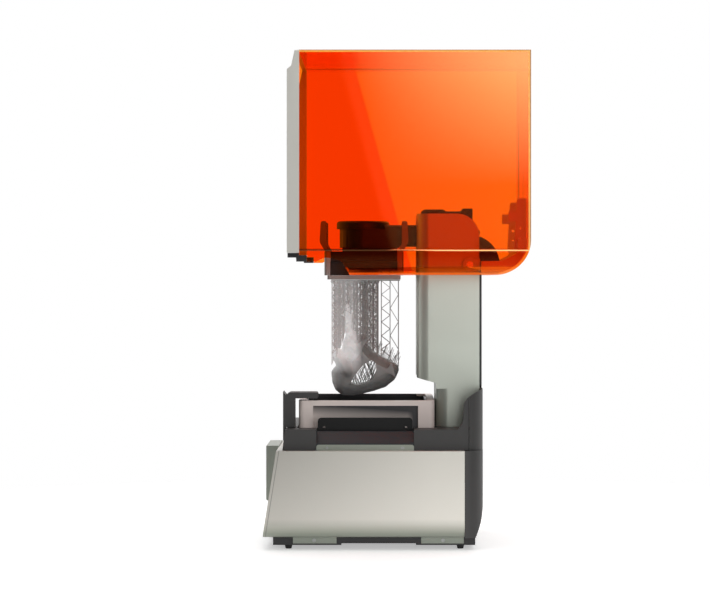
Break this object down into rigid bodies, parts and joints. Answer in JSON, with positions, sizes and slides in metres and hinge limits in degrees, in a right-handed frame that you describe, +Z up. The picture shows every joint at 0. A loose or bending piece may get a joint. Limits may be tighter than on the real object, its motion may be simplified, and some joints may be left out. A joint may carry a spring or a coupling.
{
  "type": "resin printer",
  "caption": "Desktop resin 3D printer with a swing-up orange cover, lead-screw platform arm, removable resin tank, mixer, light engine and squeeze-release build platform.",
  "frame": {"origin": "middle of the resting machine's outline on the table, with the cover open", "axes": "+Z up, the front with the screen faces -Y, +X is the machine's left-to-right seen from the front"},
  "size_m": [0.398, 0.441, 0.8223],
  "materials": {
    "champagne_metal": "satin champagne grey",
    "tower_metal": "satin green-grey",
    "charcoal_plastic": "fine matt moulded",
    "black_plastic": "matt black",
    "black_metal": "satin black",
    "orange_cover": "clear orange, polished",
    "tank_plastic": "satin warm grey",
    "rubber": "matt",
    "screw_steel": "machined",
    "bright_steel": "ground",
    "raw_aluminium": "anodised",
    "platform_metal": "brushed, warm grey",
    "brass": "machined",
    "screen_glass": "black glass",
    "film": "clear film",
    "print_resin": "grey cured resin",
    "circuit_board": "solder mask",
    "motor_metal": "dark end bells",
    "belt_rubber": "toothed",
    "grey_plastic": "satin grey"
  },
  "bodies": {
    "base": {"base_pan": "black_metal", "rubber_feet": "rubber", "chassis_frame": "tower_metal", "side_panel_right": "champagne_metal", "side_panel_left": "champagne_metal", "panel_screws": "screw_steel", "front_panel": "champagne_metal", "screen_housing": "tower_metal", "touch_screen": "screen_glass", "deck_tray": "charcoal_plastic", "lcd_panel": "screen_glass", "tank_brackets": "black_metal", "guide_rod": "bright_steel", "rear_cover": "charcoal_plastic", "rear_panel": "black_plastic", "tower_shell": "tower_metal", "tower_rear_plate": "black_metal", "tower_cap": "black_plastic", "tower_frame": "raw_aluminium", "hinge_pins": "bright_steel", "linear_rails": "bright_steel", "z_motor": "motor_metal", "screw_bearings": "raw_aluminium", "mixer_belt": "belt_rubber", "mixer_motor": "motor_metal", "light_engine": "black_plastic", "led_board": "circuit_board", "heat_sink": "raw_aluminium", "fan_frame": "black_plastic", "main_board": "circuit_board", "power_supply": "motor_metal", "power_inlet": "black_plastic"},
    "cover": {"cover_shell": "orange_cover", "cover_skirt": "champagne_metal", "cover_end_caps": "black_plastic", "hinge_arms": "tower_metal", "hinge_shields": "black_metal", "hinge_cheeks": "grey_plastic"},
    "z_stage": {"z_carriage": "raw_aluminium", "lead_nut": "brass", "arm": "black_metal"},
    "knob": {"lock_knob": "black_plastic"},
    "platform": {"platform_body": "platform_metal", "platform_plate": "platform_metal", "platform_webs": "black_plastic", "print_model": "print_resin", "print_supports": "print_resin"},
    "front_handle": {"flex_handle_front": "grey_plastic"},
    "rear_handle": {"flex_handle_rear": "grey_plastic"},
    "screw": {"lead_screw": "bright_steel", "motor_coupling": "raw_aluminium"},
    "tank": {"tank_body": "tank_plastic", "tank_film": "film", "film_frame": "black_plastic"},
    "mixer": {"mixer_arm": "charcoal_plastic", "mixer_paddle": "black_plastic"},
    "mixer_carriage": {"drive_carriage": "black_plastic"},
    "motor_pulley": {"drive_pulley": "raw_aluminium"},
    "end_pulley": {"idler_pulley": "raw_aluminium"},
    "fan": {"fan_rotor": "black_plastic"},
    "switch": {"power_switch": "black_plastic"}
  },
  "joints": [
    {"name": "cover_hinge", "type": "hinge", "parent": "base", "child": "cover", "pos_m": [0, 0.1228, 0.4696], "axis": [1, 0, 0], "range_deg": [0, 90]},
    {"name": "z_travel", "type": "slide", "parent": "base", "child": "z_stage", "axis": [0, 0, 1], "range_m": [-0.248, 0.004], "deforming": ["print_model", "print_supports"]},
    {"name": "screw_turn", "type": "hinge", "parent": "base", "child": "screw", "pos_m": [0, 0.098, 0.36], "axis": [0, 0, 1], "range_deg": [-11170, 185]},
    {"name": "knob_turn", "type": "hinge", "parent": "z_stage", "child": "knob", "pos_m": [0, -0.057, 0.53], "axis": [0, 0, 1], "range_deg": [0, 90]},
    {"name": "platform_release", "type": "slide", "parent": "z_stage", "child": "platform", "axis": [0, -1, 0], "range_m": [0, 0.09]},
    {"name": "front_handle_squeeze", "type": "hinge", "parent": "platform", "child": "front_handle", "pos_m": [0, -0.113, 0.487], "axis": [1, 0, 0], "range_deg": [-8, 0], "stiffness_Nm_per_rad": 3},
    {"name": "rear_handle_squeeze", "type": "hinge", "parent": "platform", "child": "rear_handle", "pos_m": [0, 0.004, 0.487], "axis": [1, 0, 0], "range_deg": [0, 8], "stiffness_Nm_per_rad": 3},
    {"name": "tank_lift", "type": "slide", "parent": "base", "child": "tank", "axis": [0, 0, 1], "range_m": [0, 0.027]},
    {"name": "mixer_travel", "type": "slide", "parent": "tank", "child": "mixer", "axis": [1, 0, 0], "range_m": [-0.218, 0]},
    {"name": "carriage_travel", "type": "slide", "parent": "base", "child": "mixer_carriage", "axis": [1, 0, 0], "range_m": [-0.2185, 0.0005]},
    {"name": "motor_pulley_turn", "type": "hinge", "parent": "base", "child": "motor_pulley", "pos_m": [-0.135, -0.175, 0.19], "axis": [0, 0, 1], "range_deg": [-10, 2726]},
    {"name": "end_pulley_turn", "type": "hinge", "parent": "base", "child": "end_pulley", "pos_m": [0.135, -0.175, 0.19], "axis": [0, 0, 1], "range_deg": [-10, 2726]},
    {"name": "fan_spin", "type": "hinge", "parent": "base", "child": "fan", "pos_m": [-0.122, 0.123, 0.112], "axis": [0, 1, 0], "continuous": true},
    {"name": "switch_rock", "type": "hinge", "parent": "base", "child": "switch", "pos_m": [0.09, 0.1365, 0.086], "axis": [1, 0, 0], "range_deg": [-14, 0]}
  ],
  "couplings": [
    {"joint": "screw_turn", "follows": "z_travel", "rad_per_m": 785.4},
    {"joint": "carriage_travel", "follows": "mixer_travel", "ratio": 1},
    {"joint": "motor_pulley_turn", "follows": "mixer_travel", "rad_per_m": -217.39},
    {"joint": "end_pulley_turn", "follows": "mixer_travel", "rad_per_m": -217.39}
  ]
}
